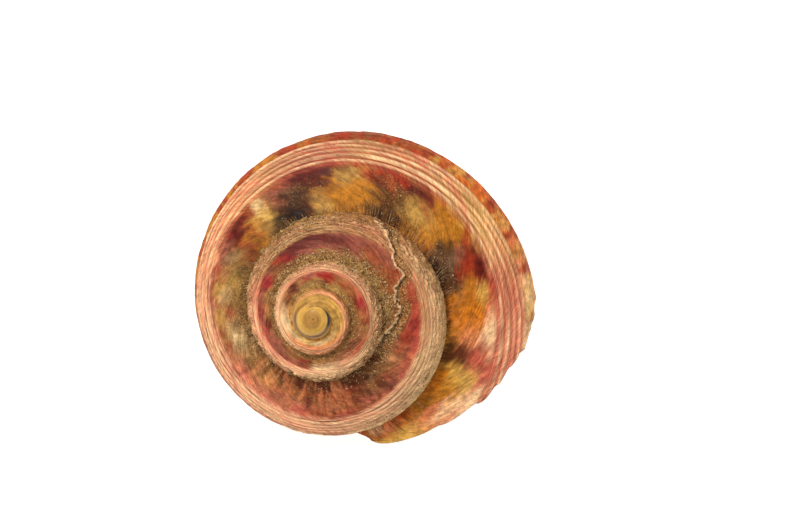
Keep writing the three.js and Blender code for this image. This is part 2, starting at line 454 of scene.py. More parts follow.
shell = spiral("shell_surface", outer_rings, FIRST_TURN, LIP_TURN, outer_step, OUTER)
for extra in bead_and_core():
    mark_side(extra, OUTER)
    combine(shell, extra, "UNION")
channel = spiral("channel", lumen_rings, LIP_TURN - LUMEN_LENGTH, LIP_TURN + PAST_LIP,
                 lambda age: LUMEN_STEP, INNER)
combine(shell, channel, "DIFFERENCE")


# Where each point of the joined mesh lies on the shell

BATCH = 20000  # points looked up at once
WHORLS = range(-5, 1)
# Growth angles between which each side lies, with some to spare.
SEARCH_FROM = {OUTER: FIRST_TURN - 20, INNER: LIP_TURN - LUMEN_LENGTH - 15}
SEARCH_TO = LIP_TURN + 16
HIDDEN_FROM = 17.3  # places from here on lie against the whorl before, so they are a last choice
HIDDEN_GAP = 0.5  # millimetres added to their distance


def curve_samples(rows, parts_per_line):
    places = np.arange(0, len(rows), 1 / parts_per_line)
    return places, outline_at(rows, places)


def nearest_on_section(points_rz, turn, samples):
    """For each point, the nearest sample of the section at its growth angle, and how far off."""
    places, rows = samples
    found = np.empty(len(turn))
    gap = np.empty(len(turn))
    for start in range(0, len(turn), BATCH):
        part = slice(start, start + BATCH)
        radius, height = section(rows, turn[part, None])
        off = (radius - points_rz[part, None, 0]) ** 2 + (height - points_rz[part, None, 1]) ** 2
        best = off.argmin(1)
        found[part] = places[best]
        gap[part] = np.sqrt(off[np.arange(len(best)), best])
    return found, gap


def locate_faces(centres, side):
    """Growth angle of each face, from the section that passes nearest to it."""
    angle = np.degrees(np.arctan2(-centres[:, 0], -centres[:, 1])) % 360
    flat = np.stack([np.hypot(centres[:, 0], centres[:, 1]), centres[:, 2]], -1)
    best_gap = np.full(len(centres), np.inf)
    turn = np.zeros(len(centres))
    coarse = {OUTER: curve_samples(OUTLINE, 3), INNER: curve_samples(LUMEN, 3)}
    for whorl in WHORLS:
        here = angle + 360 * whorl
        for kind, samples in coarse.items():
            possible = (here > SEARCH_FROM[kind]) & (here < SEARCH_TO) & (side == kind)
            place, gap = nearest_on_section(flat[possible], here[possible], samples)
            if kind == OUTER:
                gap = gap + np.where(place > HIDDEN_FROM, HIDDEN_GAP, 0)
            closer = gap < best_gap[possible]
            index = np.flatnonzero(possible)[closer]
            best_gap[index] = gap[closer]
            turn[index] = here[index]
    return turn


def corner_coordinates(mesh):
    """Per face corner: position, side, growth angle, place along the outline."""
    corners = read(mesh.loops, "vertex_index", kind=int)
    starts = read(mesh.polygons, "loop_start", kind=int)
    sizes = read(mesh.polygons, "loop_total", kind=int)
    face_side = read(mesh.polygons, "material_index", kind=int)
    face_of = np.repeat(np.arange(len(sizes)), sizes)
    p = read(mesh.vertices, "co", 3)[corners]
    centres = np.add.reduceat(p, starts, axis=0) / sizes[:, None]
    face_turn = locate_faces(centres, face_side)
    side = face_side[face_of]
    angle = np.degrees(np.arctan2(-p[:, 0], -p[:, 1]))
    turn = angle + 360 * np.round((face_turn[face_of] - angle) / 360)
    key = np.stack([corners, np.round(turn / 360 * 8).astype(int), side], -1)
    _, first, back = np.unique(key, axis=0, return_index=True, return_inverse=True)
    flat = np.stack([np.hypot(p[first, 0], p[first, 1]), p[first, 2]], -1)
    place = np.empty(len(first))
    for kind, rows in ((OUTER, OUTLINE), (INNER, LUMEN)):
        mine = side[first] == kind
        place[mine], _ = nearest_on_section(flat[mine], turn[first][mine], curve_samples(rows, 10))
    return p, side, turn, place[back.reshape(-1)]


mesh = shell.data
p, side, turn, place = corner_coordinates(mesh)


# Colours, from the photograph

DEEPENING = 1.21  # soft white light pales a surface, so its own colour is deeper than it looks


def shade(*screen_colour):
    """The colour of the surface that looks like this one on the screen."""
    c = np.array(screen_colour) / 255
    return np.where(c <= 0.04045, c / 12.92, ((c + 0.055) / 1.055) ** 2.4) ** DEEPENING


CREAM = shade(238, 199, 154)
IVORY = shade(218, 186, 138)
STRAW = shade(208, 166, 88)
HONEY = shade(182, 142, 78)
OCHRE = shade(184, 124, 42)
AMBER = shade(198, 122, 30)
ORANGE = shade(204, 112, 50)
PEACH = shade(222, 144, 98)
TAN = shade(168, 118, 74)
OLIVE = shade(152, 118, 68)
DRAB = shade(110, 78, 42)
GREY = shade(150, 122, 90)
SMOKE = shade(80, 50, 30)
UMBER = shade(42, 25, 12)
BROWN = shade(98, 54, 24)
RUSSET = shade(152, 82, 46)
BRICK = shade(164, 66, 38)
RED = shade(152, 38, 18)
CRIMSON = shade(150, 38, 46)
MAROON = shade(96, 28, 22)
PLUM = shade(104, 44, 36)
MAUVE = shade(160, 96, 76)
ROSE = shade(192, 98, 78)
PINK = shade(214, 132, 106)
BLUSH = shade(224, 160, 126)

# Ground of each whorl: angle, then colour beside the suture, half way up the ramp, at the shoulder.
# The dark colours beside the suture are partly painted shade, where the whorl before overhangs the ramp.
GROUND_AND_SUTURE_SHADE = {
    0: [
        (-10, MAROON, BRICK, ROSE), (15, BROWN, RUSSET, PINK), (35, BROWN, TAN, PINK),
        (55, DRAB, TAN, PINK), (75, DRAB, IVORY, TAN), (95, DRAB, TAN, TAN), (112, DRAB, OLIVE, TAN),
        (126, DRAB, OLIVE, MAUVE), (138, BROWN, RUSSET, PLUM), (148, OCHRE, OCHRE, RUSSET),
        (156, DRAB, HONEY, TAN), (164, UMBER, BROWN, MAUVE), (172, UMBER, SMOKE, PLUM),
        (180, BROWN, BROWN, MAROON), (188, HONEY, OCHRE, PLUM), (196, OCHRE, OCHRE, HONEY),
        (204, OCHRE, OCHRE, BRICK), (212, SMOKE, BROWN, BRICK), (220, BROWN, HONEY, MAROON),
        (228, OCHRE, HONEY, RUSSET), (236, RUSSET, OCHRE, OCHRE), (244, SMOKE, SMOKE, RUSSET),
        (252, UMBER, BRICK, MAROON), (259, BROWN, OCHRE, BRICK), (267, AMBER, AMBER, PEACH),
        (276, OCHRE, PEACH, CREAM), (284, BROWN, BROWN, ROSE), (291, OCHRE, STRAW, PINK),
        (298, AMBER, OCHRE, CREAM), (308, OCHRE, PEACH, BLUSH), (320, ORANGE, STRAW, CREAM),
        (335, BRICK, STRAW, CREAM), (350, ORANGE, CREAM, CREAM),
    ],
    -1: [
        (-10, DRAB, BROWN, RUSSET), (25, OLIVE, TAN, MAUVE), (60, OLIVE, MAUVE, MAUVE),
        (90, OLIVE, TAN, MAUVE), (130, DRAB, TAN, MAUVE), (160, OLIVE, PLUM, PLUM),
        (185, OLIVE, MAUVE, PLUM), (215, OLIVE, MAUVE, MAUVE), (240, OLIVE, RUSSET, MAUVE),
        (262, OLIVE, RUSSET, ROSE), (285, BROWN, MAUVE, ROSE), (310, BROWN, TAN, MAUVE),
        (335, UMBER, MAROON, RUSSET), (350, MAROON, RUSSET, RUSSET),
    ],
    -2: [
        (-10, OCHRE, STRAW, PEACH), (45, HONEY, IVORY, PEACH), (90, OCHRE, IVORY, CREAM),
        (130, HONEY, RUSSET, TAN), (155, HONEY, TAN, TAN), (178, HONEY, OLIVE, MAUVE),
        (200, HONEY, TAN, ROSE), (215, HONEY, OLIVE, TAN), (250, OLIVE, RUSSET, ROSE),
        (280, DRAB, TAN, TAN), (305, OLIVE, MAUVE, ROSE), (340, OLIVE, TAN, CREAM),
    ],
    -3: [
        (-10, HONEY, HONEY, STRAW), (90, OCHRE, HONEY, STRAW), (180, HONEY, HONEY, HONEY),
        (270, HONEY, HONEY, STRAW), (350, OCHRE, IVORY, PEACH),
    ],
}

# Blotches: angle counted on through the whorls, distance from the apex, half length along the
# spiral and half width across it, in pixels of the photograph but the angle; colour, strength.
# The dark UMBER and SMOKE blotches beside the suture are partly painted shade under the whorl before.
BLOTCHES_AND_SHADE = [
    (2, 68, 16, 5, MAROON, 0.7), (-8, 84, 10, 8, PLUM, 0.4), (12, 66, 12, 5, UMBER, 0.5),
    (8, 98, 5, 3, CRIMSON, 0.8), (22, 104, 6, 3, CRIMSON, 0.7), (5, 91, 24, 4, ROSE, 0.5),
    (30, 80, 12, 8, ROSE, 0.35), (48, 84, 8, 5, BRICK, 0.4), (40, 96, 8, 5, TAN, 0.6),
    (72, 86, 5, 6, CRIMSON, 0.6), (79, 97, 4, 7, BRICK, 0.8), (94, 83, 6, 7, CRIMSON, 0.75),
    (98, 101, 4, 7, BRICK, 0.8), (117, 109, 5, 6, BRICK, 0.7), (113, 101, 4, 6, RUSSET, 0.6),
    (62, 94, 8, 9, TAN, 0.7), (86, 75, 7, 6, UMBER, 0.5), (90, 93, 8, 9, STRAW, 0.45),
    (104, 82, 8, 7, UMBER, 0.45), (68, 75, 8, 6, UMBER, 0.5), (50, 100, 7, 6, STRAW, 0.4),
    (36, 78, 8, 8, STRAW, 0.35), (24, 84, 9, 6, UMBER, 0.4), (56, 78, 7, 6, UMBER, 0.45),
    (84, 104, 5, 9, TAN, 0.6), (107, 100, 7, 8, STRAW, 0.5), (118, 78, 8, 6, UMBER, 0.45),
    (105, 92, 10, 6, IVORY, 0.4), (116, 88, 9, 8, STRAW, 0.35), (129, 102, 9, 7, GREY, 0.6),
    (124, 84, 9, 7, UMBER, 0.35), (138, 113, 7, 8, MAROON, 0.85), (143, 127, 8, 8, MAROON, 0.8),
    (134, 122, 7, 5, CRIMSON, 0.5), (148, 103, 7, 7, RUSSET, 0.6), (145, 97, 9, 6, DRAB, 0.5),
    (154, 128, 7, 15, IVORY, 0.8), (157, 116, 8, 10, STRAW, 0.7), (150, 112, 6, 7, HONEY, 0.6),
    (164, 141, 12, 6, RUSSET, 0.7), (167, 106, 15, 8, UMBER, 0.95), (173, 102, 9, 6, UMBER, 0.9),
    (172, 124, 9, 10, SMOKE, 0.85), (169, 132, 8, 6, MAUVE, 0.4), (177, 141, 9, 8, MAROON, 0.8),
    (183, 152, 12, 6, PLUM, 0.85), (188, 156, 8, 4, MAROON, 0.6), (185, 118, 10, 11, HONEY, 0.8),
    (192, 145, 10, 8, HONEY, 0.8), (193, 129, 13, 9, OCHRE, 0.6), (200, 118, 12, 8, OCHRE, 0.6),
    (196, 162, 4, 3, RED, 0.95), (207, 153, 11, 9, MAROON, 0.75), (211, 166, 11, 5, RED, 0.75),
    (212, 140, 10, 10, BROWN, 0.85), (211, 126, 9, 7, UMBER, 0.6), (219, 165, 9, 6, PLUM, 0.7),
    (217, 150, 8, 7, SMOKE, 0.6), (222, 154, 10, 7, STRAW, 0.6), (226, 146, 9, 8, HONEY, 0.7),
    (230, 169, 10, 8, OCHRE, 0.8), (234, 141, 13, 10, OCHRE, 0.8), (236, 167, 12, 12, OCHRE, 0.7),
    (240, 178, 5, 4, RED, 0.85), (236, 178, 5, 4, STRAW, 0.5), (242, 149, 10, 9, SMOKE, 0.8),
    (245, 162, 9, 8, MAUVE, 0.5), (243, 171, 6, 4, BRICK, 0.7), (250, 168, 12, 9, BRICK, 0.8),
    (252, 176, 9, 5, MAROON, 0.7), (256, 180, 11, 6, MAROON, 0.6), (251, 145, 12, 9, UMBER, 0.8),
    (256, 150, 8, 6, UMBER, 0.8), (247, 153, 8, 8, GREY, 0.4), (262, 152, 9, 9, AMBER, 0.8),
    (261, 172, 12, 7, STRAW, 0.8), (268, 160, 17, 13, AMBER, 0.6), (271, 139, 5, 3, UMBER, 0.9),
    (274, 182, 12, 8, CREAM, 0.8), (283, 146, 11, 10, BROWN, 0.8), (279, 142, 8, 5, UMBER, 0.7),
    (283, 158, 12, 8, PLUM, 0.6), (284, 168, 12, 8, ROSE, 0.7), (280, 176, 9, 5, BRICK, 0.5),
    (287, 190, 14, 6, PINK, 0.7), (292, 166, 14, 8, STRAW, 0.8), (297, 156, 13, 8, OCHRE, 0.8),
    (290, 180, 9, 6, ROSE, 0.6), (305, 160, 14, 7, CREAM, 0.6), (303, 146, 12, 8, OCHRE, 0.6),
    (309, 150, 12, 5, ROSE, 0.5), (318, 128, 14, 6, RED, 0.5), (324, 132, 10, 6, PEACH, 0.8),
    (330, 126, 9, 6, CREAM, 0.7), (336, 121, 8, 6, ORANGE, 0.8), (345, 116, 7, 5, CREAM, 0.6),
    (-349, 42, 5, 3, CRIMSON, 0.8), (-322, 47, 6, 4, PLUM, 0.5), (-275, 44, 6, 4, MAROON, 0.9),
    (-284, 48, 8, 4, ROSE, 0.7), (-262, 52, 8, 4, CRIMSON, 0.6), (-231, 58, 10, 7, CRIMSON, 0.9),
    (-243, 66, 9, 4, PLUM, 0.5), (-199, 64, 10, 5, CRIMSON, 0.85), (-212, 68, 8, 4, BRICK, 0.6),
    (-222, 66, 8, 4, DRAB, 0.5), (-165, 82, 24, 7, PLUM, 0.7), (-168, 92, 14, 5, MAUVE, 0.7),
    (-138, 86, 12, 9, RUSSET, 0.6), (-118, 94, 7, 5, BRICK, 0.8), (-114, 84, 9, 7, RUSSET, 0.7),
    (-106, 101, 14, 10, BRICK, 0.5), (-97, 103, 12, 6, RED, 0.4), (-88, 104, 10, 5, CRIMSON, 0.75),
    (-80, 96, 10, 7, BRICK, 0.7), (-70, 92, 9, 8, RUSSET, 0.6), (-62, 84, 10, 8, BROWN, 0.7),
    (-52, 92, 10, 6, CRIMSON, 0.5), (-64, 88, 5, 7, IVORY, 0.35), (-48, 84, 9, 4, GREY, 0.5),
    (-40, 74, 14, 8, UMBER, 0.7), (-30, 72, 14, 7, MAROON, 0.9), (-15, 70, 12, 8, MAROON, 0.8),
    (-24, 84, 10, 8, BRICK, 0.7), (-12, 88, 9, 8, MAROON, 0.6), (10, 78, 9, 7, TAN, 0.7),
    (17, 92, 8, 5, MAROON, 0.6), (-34, 98, 8, 5, PINK, 0.6), (-20, 100, 9, 4, ROSE, 0.7),
    (-2, 102, 8, 4, PINK, 0.6), (28, 68, 10, 6, UMBER, 0.6), (-521, 45, 9, 6, RED, 0.95),
    (-524, 36, 5, 4, MAROON, 0.8), (-571, 37, 7, 5, MAROON, 0.85), (-548, 41, 5, 3, RED, 0.7),
    (-499, 47, 6, 3, BRICK, 0.8), (-468, 50, 6, 6, CRIMSON, 0.75), (-475, 45, 5, 3, PLUM, 0.6),
    (-448, 54, 3, 3, RED, 0.8), (-419, 47, 6, 5, PLUM, 0.7), (-405, 47, 5, 4, MAROON, 0.5),
    (-590, 31, 8, 4, UMBER, 0.4),
]

# Angle and colour along the shoulder, and along the band outside it.
SHOULDER_GROUND = [
    (-720, PEACH), (-640, CREAM), (-560, ROSE), (-500, MAUVE), (-430, TAN), (-385, CREAM), (-330, BLUSH),
    (-270, PINK), (-215, TAN), (-180, OLIVE), (-135, TAN), (-100, TAN), (-70, IVORY), (-30, BLUSH),
    (0, PINK), (30, BLUSH), (90, BLUSH), (130, PEACH), (165, TAN), (180, MAUVE), (200, TAN), (220, TAN),
    (240, STRAW), (262, ROSE), (285, PINK), (300, PEACH), (320, CREAM), (354, CREAM),
]
OUTER_BAND = [
    (-400, TAN), (-200, OLIVE), (-120, TAN), (-60, IVORY), (0, CREAM), (30, PEACH), (70, TAN), (110, OCHRE),
    (135, OCHRE), (160, OCHRE), (185, RUSSET), (205, RUSSET), (225, ORANGE), (240, ORANGE), (252, PEACH),
    (264, CREAM), (285, CREAM), (300, PINK), (315, CREAM), (354, CREAM),
]

# Dirt, and painted shade beside the suture: from angle, to angle, from place, to place, amount, colour.
# The UMBER rows are painted shade, and the DRAB rows dirt with painted shade, under the whorl before.
DIRT_AND_SHADE = [
    (-245, -50, -1, 1.75, 1, OLIVE), (-50, 20, -1, 0.9, 0.7, DRAB), (-70, 60, 0.6, 3.3, 0.25, TAN),
    (-350, -245, -1, 1.2, 0.8, OLIVE), (-235, -175, 3.6, 9, 0.9, OLIVE),
    (-175, -128, 3.6, 9, 0.7, TAN), (-128, -20, 4.9, 9, 0.7, IVORY), (-20, 30, 6, 9, 0.4, IVORY),
    (-360, -235, 4.8, 9, 0.6, IVORY), (-125, -92, 1, 4.2, 0.35, OLIVE),
    (-720, -640, 3.2, 9, 0.35, IVORY), (-640, -360, 4.5, 9, 0.75, IVORY),
    (-600, -360, -1, 1.6, 0.6, OLIVE), (-450, -370, 0, 3.2, 0.5, TAN),
    (30, 130, -1, 3.3, 0.35, HONEY), (30, 128, -1, 1.6, 0.5, DRAB), (130, 235, -1, 0.75, 0.5, DRAB),
    (164, 182, 1.6, 3, 0.35, GREY), (206, 222, 1, 3.4, 0.45, OLIVE), (240, 262, 0.4, 1.8, 0.4, GREY),
    (235, 300, -1, 0.55, 0.8, UMBER), (300, 354, -1, 0.35, 0.7, UMBER),
]


def along(stops, angle, column=1):
    """A colour that runs along the spiral through named stops."""
    knots = [stop[0] for stop in stops]
    tints = np.array([stop[column] for stop in stops])
    return np.stack([np.interp(angle, knots, tints[:, c]) for c in range(3)], -1)


def mix(base, tint, amount):
    return base + (tint - base) * np.asarray(amount)[..., None]


def between(low, high, soft, values):
    return rise(low - soft, low + soft, values) * fall(high - soft, high + soft, values)


def ground_and_suture_shade(angle, place):
    """The whorls' ground, with painted shade beside the suture, before blotches."""
    to_middle = rise(0.7, 1.7, place)
    to_shoulder = rise(1.9, 3, place)
    tint = HONEY
    for whorl, stops in GROUND_AND_SUTURE_SHADE.items():
        local = angle - 360 * whorl
        here = mix(along(stops, local, 1), along(stops, local, 2), to_middle)
        here = mix(here, along(stops, local, 3), to_shoulder)
        tint = mix(tint, here, between(0, 360, 5, local))
    return tint


def shoulder_colours(age, place, angle, ridge):
    """Pale cords with red in the grooves, streaked along the spiral; redder beside the ramp."""
    wander = 20 * (fractal(age / 9, place * 0.6, 60) - 0.5)
    band = along(SHOULDER_GROUND, angle + wander)
    lines = fractal(age / 22, place * 4, 61, 3)
    patches = fractal(age / 5, place * 0.6, 62)
    paler = 0.25 * between(-30, 130, 20, angle)
    pale = mix(band, CREAM, 0.35 + paler + (0.6 - paler) * rise(0.4, 0.6, lines))
    pale = mix(pale, PINK, 0.6 * rise(0.52, 0.7, patches))
    redder = rise(150, 190, angle)
    groove = mix(band, ROSE, 0.15 + (0.2 + 0.3 * redder) * rise(0.35, 0.65, patches))
    groove = mix(groove, CREAM, paler)
    streaks = rise(0.52, 0.68, fractal(age / 14, place * 2, 63))
    groove = mix(groove, PLUM, (0.7 - 0.4 * redder) * streaks)
    tint = mix(groove, pale, rise(0.1, 0.75, ridge))
    soft = 0.45 * fall(-60, -10, angle) + 0.3 * rise(215, 255, angle)
    tint = mix(tint, 0.5 * (groove + pale), soft)
    beside_ramp = fall(3.9, 4.4, place) * rise(0.42, 0.6, fractal(age / 3.4, place * 0.5, 64))
    return mix(tint, CRIMSON, 0.45 * beside_ramp * rise(-60, 0, angle))


def rim_colours(age, place, angle):
    """The outermost band, orange-brown with red-brown dashes."""
    rim = along(OUTER_BAND, angle + 18 * (fractal(age / 8, place * 0.5, 65) - 0.5))
    pale_dash = rise(0.5, 0.62, fractal(angle / 4 + 9, place * 0.5, 67))
    rim = mix(rim, STRAW, 0.6 * pale_dash * rise(190, 220, angle))
    dash = rise(0.5, 0.6, fractal(angle / 3.2, place * 0.4, 66))
    strength = (0.85 - 0.35 * rise(255, 275, angle)) * rise(-60, 0, angle)
    return mix(rim, BRICK, strength * dash)


def base_colours(age, place, ridge):
    """The underside, which the photograph hides: pale, with rows of red dashes on the cords."""
    below = mix(CREAM, BLUSH, fractal(age / 9, place * 0.7, 68))
    marks = rise(0.5, 0.62, fractal(age / 2.4, place * 1.4, 69)) * rise(0.2, 0.6, ridge)
    below = mix(below, BRICK, 0.75 * marks)
    return mix(below, IVORY, rise(13.3, 14.6, place))


def blotched_and_shaded(tint, place, angle, distance, wobble, across, grain):
    """The blotches over the ground, some dark ones painted shade beside the suture, with edges that the
    noise breaks up.
    """
    for at, out, half_length, half_width, paint, strength in BLOTCHES_AND_SHADE:
        near = (np.abs(angle - at) < 45) & (place < 4.4)
        along_it = np.radians(angle[near] - at) * out + 7 * wobble[near]
        across_it = distance[near] - out + 5 * across[near]
        reach = np.hypot((along_it + 0.35 * across_it) / half_length, across_it / half_width)
        reach = reach + 0.9 * (grain[near] - 0.5)
        amount = strength * fall(0.3, 1.5, reach) * fall(3.5, 4.2, place[near])
        tint[near] = mix(tint[near], paint, amount)
    return tint


def dirt_and_shade_laid(tint, place, age, angle, wobble, across):
    """Dirt in two tones where it gathers, painted shade beside the suture, and how dirty that makes each
    corner.
    """
    dirty = np.zeros(len(place))
    cover = fractal(age / 2.6, place * 1.9, 73)
    damp = rise(0.46, 0.62, fractal(age / 4.2, place * 1.3, 75))
    for start, end, low, high, amount, soil_and_shade in DIRT_AND_SHADE:
        here = amount * between(start, end, 9, angle + 10 * wobble)
        here = here * between(low, high, 0.35, place + 0.7 * across)
        laid_on = here * rise(0.25, 0.6, cover)
        tint = mix(tint, mix(soil_and_shade, BROWN, 0.6 * damp), 0.75 * laid_on)
        dirty = np.maximum(dirty, here * (0.4 + 0.6 * rise(0.3, 0.6, cover)))
    return tint, dirty


def scar_colours(tint, dirty, place, angle, distance):
    """A pale edge along the old broken lip, a painted shadow past it below its step, and dirt in its lee.
    """
    past = past_scar(angle, distance)
    above = place < SCAR_END
    lee = between(0.2, 9, 0.5, past) * above
    tint = mix(tint, OLIVE, 0.55 * lee)
    # Painted shadow below the step of the old lip.
    tint = mix(tint, UMBER, 0.8 * between(0.2, 2, 0.4, past) * above)
    tint = mix(tint, CREAM, 0.9 * between(-1.7, 0.1, 0.3, past) * above)
    return tint, np.maximum(dirty, lee)


def tip_colours(tint, dirty, turn, angle, distance):
    """The worn, waxy tip with a brown line round it and painted shade in the crack beside it on the right,
    and how worn that makes each corner.
    """
    worn = fall(-1000, -860, turn)
    waxy = mix(HONEY, STRAW, 0.8 * between(9.5, 15.5, 1, distance))
    tint = mix(tint, waxy, worn)
    tint = mix(tint, TAN, 0.3 * fall(4, 11, distance))
    tint = mix(tint, UMBER, 0.6 * fall(0.5, 1.4, distance))
    beside_tip = between(15.9, 18.6, 0.7, distance) * worn
    tint = mix(tint, BROWN, 0.6 * beside_tip)
    # Painted shade in the crack beside the tip, on its right.
    tint = mix(tint, UMBER, 0.95 * beside_tip * between(232, 292, 6, angle % 360))
    return tint, dirty * (1 - worn), worn * (0.75 + 0.25 * rise(12, 15, distance))


def outside_colours(turn, place, age, angle, distance):
    """Colour, with painted shade along the sutures, and how dirty and how worn, of every corner of the
    outer surface.
    """
    wobble = 2 * fractal(age / 6, place * 1.1, 40) - 1
    across = 2 * fractal(age / 5 + 40, place * 1.3, 47) - 1
    grain = fractal(age / 1.6, place * 2.6, 53)
    tint = ground_and_suture_shade(angle + 7 * wobble, place + 0.8 * across)
    tint = blotched_and_shaded(tint, place, angle, distance, wobble, across, grain)
    folded = between(-70, 60, 15, turn) * fall(3.3, 4, place)
    height = fold_height(turn, place)
    tint = mix(tint, MAROON, 0.7 * folded * fall(0.3, 0.5, height))
    tint = mix(tint, PEACH, 0.5 * folded * rise(0.52, 0.68, height))
    ridge = np.clip(cords(place), 0, 1)
    band_from = 6.3 - 0.35 * between(205, 300, 20, angle) - 0.25 * between(110, 205, 20, angle)
    in_band = rise(-0.2, 0.2, place - band_from)
    shoulder = rise(3.3, 3.9, place + 0.3 * across) * (1 - in_band)
    tint = mix(tint, shoulder_colours(age, place, angle, ridge), 0.92 * shoulder)
    tint = mix(tint, rim_colours(age, place, angle), in_band * (place < 9.2))
    tint = mix(tint, base_colours(age, place, ridge), rise(8.7, 9.7, place))
    # Painted shade: a dark line along every suture, under the whorl before.
    tint = mix(tint, UMBER, 0.7 * fall(0.32, 0.55, place))
    tint, dirty = dirt_and_shade_laid(tint, place, age, angle, wobble, across)
    tint, dirty = scar_colours(tint, dirty, place, angle, distance)
    return tip_colours(tint, dirty, turn, angle, distance)


colour = np.tile(IVORY, (len(turn), 1))
wear = np.zeros((len(turn), 3))
outer = side == OUTER
lags = np.interp(place, np.arange(len(OUTLINE)), OUTLINE[:, 4])
age = turn + lags
seen_angle, seen_distance = seen_from_above(p, turn)
colour[outer], wear[outer, 0], wear[outer, 2] = outside_colours(
    turn[outer], place[outer], age[outer], seen_angle[outer], seen_distance[outer])
wear[outer, 1] = between(3.4, 5.8, 0.3, place[outer])


WORN_RADIUS = 15.3  # pixels of the photograph, as r is below
WORN_EDGE = 17
WORN_RINGS = [(10.5, 0.02), (15, 0.03)]  # radius in pixels, height in millimetres
RING_WIDTH = 0.9
DOME_TOP = -0.4
DOME_DROP = 0.46


def worn_height(r):
    """The worn tip: a low dome with two fine rings, its first turns rubbed away."""
    rings = sum(height * np.exp(-(((r - at) / RING_WIDTH) ** 2)) for at, height in WORN_RINGS)
    return DOME_TOP - DOME_DROP * (r / WORN_RADIUS) ** 2 + rings


def wear_down_tip(points):
    r = np.hypot(points[:, 0], points[:, 1]) / PIXEL
    crest = -0.2 - 0.056 * np.minimum(r, WORN_EDGE)
    near_top = rise(crest - 0.6, crest - 0.2, points[:, 2])
    amount = 0.95 * near_top * fall(WORN_RADIUS, WORN_EDGE, r)
    points[:, 2] += amount * (worn_height(r) - points[:, 2])
    return points


def add_attribute(mesh, name, kind, values):
    layer = mesh.attributes.new(name, kind, "CORNER")
    key = {"FLOAT_VECTOR": "vector", "FLOAT_COLOR": "color"}[kind]
    layer.data.foreach_set(key, np.ascontiguousarray(values, np.float32).reshape(-1))


def add_tint(mesh, tints):
    add_attribute(mesh, "tint", "FLOAT_COLOR", np.concatenate([tints, np.ones((len(tints), 1))], 1))


add_tint(mesh, colour)
keel = keel_radius(turn)
# Texture coordinates: along the spiral, across it, and a step from whorl to whorl.
growth = np.stack([np.radians(age) * keel * 0.8, place * 0.1 * keel, np.round(turn / 360) * 3.7], -1)
add_attribute(mesh, "growth", "FLOAT_VECTOR", growth)
add_attribute(mesh, "wear", "FLOAT_VECTOR", wear)
mesh.shade_smooth()


# Laid down as the solid is, in metres

solid_points = read(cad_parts["shell"].data.vertices, "co", 3)
tip = solid_points[solid_points[:, 2].argmax()]
nucleus = np.array([0, 0, NUCLEUS_RADIUS]) * MM
apex = tip - nucleus + lean @ nucleus
placing = Matrix([[*(lean[i] * MM), apex[i]] for i in range(3)] + [[0, 0, 0, 1]])
worn_points = wear_down_tip(read(mesh.vertices, "co", 3))
mesh.vertices.foreach_set("co", worn_points.astype(np.float32).ravel())
mesh.transform(placing)
mesh.update()


# Materials

BUMP_DEPTH = 0.00012  # metres
NACRE_WARM = (0.7, 0.62, 0.5)
NACRE_PALE = (0.66, 0.64, 0.56)
NACRE_GREEN = (0.52, 0.62, 0.55)


def new_material(name):
    made = bpy.data.materials.new(name)
    made.use_nodes = True
    tree = made.node_tree
    shader = next(n for n in tree.nodes if n.type == "BSDF_PRINCIPLED")
    return made, tree, shader


def feed(made, inputs):
    """Set inputs of a node, each to a value or a socket. The id_data of both is their node tree."""
    for key, value in inputs.items():
        if isinstance(value, bpy.types.NodeSocket):
            made.id_data.links.new(value, made.inputs[key])
        else:
            made.inputs[key].default_value = value


def node(tree, kind, inputs, **settings):
    made = tree.nodes.new(kind)
    for key, value in settings.items():
        setattr(made, key, value)
    feed(made, inputs)
    return made


def attribute(tree, name, kind="Vector"):
    return node(tree, "ShaderNodeAttribute", {}, attribute_name=name).outputs[kind]


def scaled(vector, scale):
    inputs = {"Vector": vector, "Scale": scale}
    return node(vector.id_data, "ShaderNodeMapping", inputs).outputs["Vector"]


def place_in_mm(tree):
    place = node(tree, "ShaderNodeTexCoord", {}).outputs["Object"]
    return scaled(place, (1 / MM, 1 / MM, 1 / MM))


def noise_texture(vector, scale, stretch=(1, 1, 1), detail=3, roughness=0.55):
    vector = scaled(vector, stretch)
    inputs = {"Vector": vector, "Scale": scale, "Detail": detail, "Roughness": roughness}
    return node(vector.id_data, "ShaderNodeTexNoise", inputs).outputs["Fac"]


def ramp(value, from_low, from_high, to_low, to_high):
    inputs = {"Value": value, "From Min": from_low, "From Max": from_high,
              "To Min": to_low, "To Max": to_high}
    made = node(value.id_data, "ShaderNodeMapRange", inputs, interpolation_type="SMOOTHSTEP")
    return made.outputs["Result"]


def blend(tree, kind, first, second, amount):
    """Mix two colours; either may be a socket or a colour, and the amount a socket or a number."""
    made = node(tree, "ShaderNodeMix", {"Factor": amount}, data_type="RGBA", blend_type=kind)
    for name, value in (("A", first), ("B", second)):
        place = next(i for i, s in enumerate(made.inputs) if s.name == name and s.type == "RGBA")
        feed(made, {place: value if isinstance(value, bpy.types.NodeSocket) else (*value, 1)})
    return next(o for o in made.outputs if o.type == "RGBA")


def arithmetic(operation, first, second):
    return node(first.id_data, "ShaderNodeMath", {0: first, 1: second}, operation=operation).outputs[0]


def times(first, second):
    return arithmetic("MULTIPLY", first, second)


def plus(first, second):
    return arithmetic("ADD", first, second)


